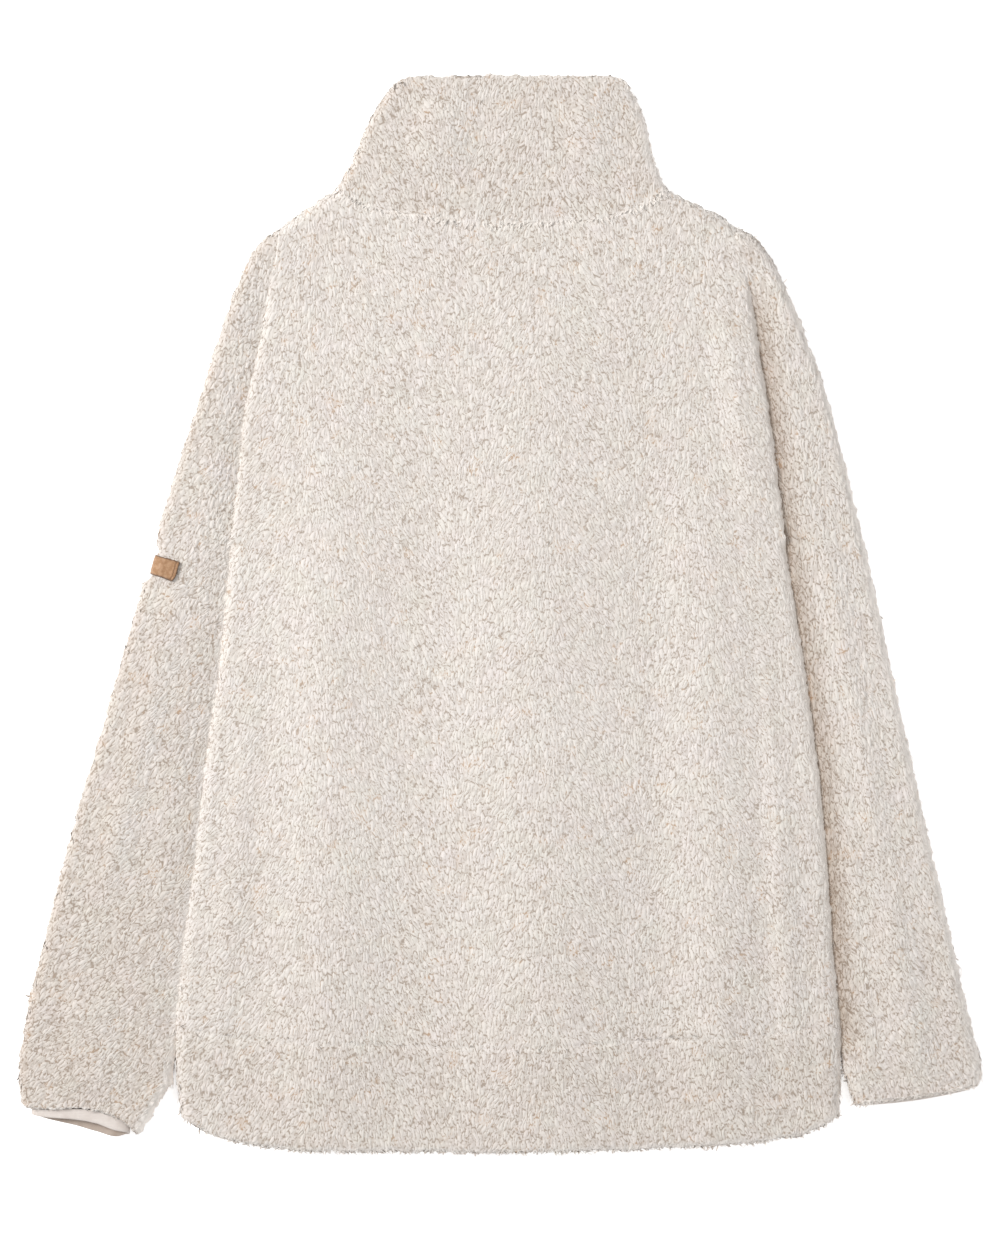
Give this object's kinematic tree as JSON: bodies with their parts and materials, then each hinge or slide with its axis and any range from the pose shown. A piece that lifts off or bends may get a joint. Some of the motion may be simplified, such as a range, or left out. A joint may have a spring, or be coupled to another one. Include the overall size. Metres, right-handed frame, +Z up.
{
  "type": "fleece jacket",
  "caption": "Sherpa fleece jacket with a tall stand collar, dropped sleeves and a hem band, laid flat on its front with its back up.",
  "frame": {"origin": "on the surface it lies on, under the middle of its outline", "axes": "+X towards the wearer's right sleeve, +Y from hem to collar, +Z up from the surface, through the front to the back"},
  "size_m": [0.7208, 0.8058, 0.0239],
  "materials": {
    "sherpa": "matt curled pile, cream tips over a light tan ground",
    "binding": "matt, smooth",
    "leather": "matt, darker edge",
    "zip_tape": "matt",
    "zip_teeth": "satin",
    "zip_metal": "satin"
  },
  "bodies": {
    "jacket": {"back": "sherpa", "hem_back": "sherpa", "collar": "sherpa", "front_left": "sherpa", "front_right": "sherpa", "hem_front_left": "sherpa", "hem_front_right": "sherpa", "sleeve_left": "sherpa", "sleeve_right": "sherpa", "cuff_binding_left": "binding", "cuff_binding_right": "binding", "label": "leather", "zip_tape_left": "zip_tape", "zip_tape_right": "zip_tape", "zip_chain": "zip_teeth", "zip_slider": "zip_metal"},
    "zip_pull": {"zip_pull": "zip_metal"}
  },
  "joints": [
    {"name": "zip_pull_swing", "type": "hinge", "parent": "jacket", "child": "zip_pull", "pos_m": [0.006, 0.344, 0.0019], "axis": [1, 0, 0], "range_deg": [0, 165]}
  ]
}
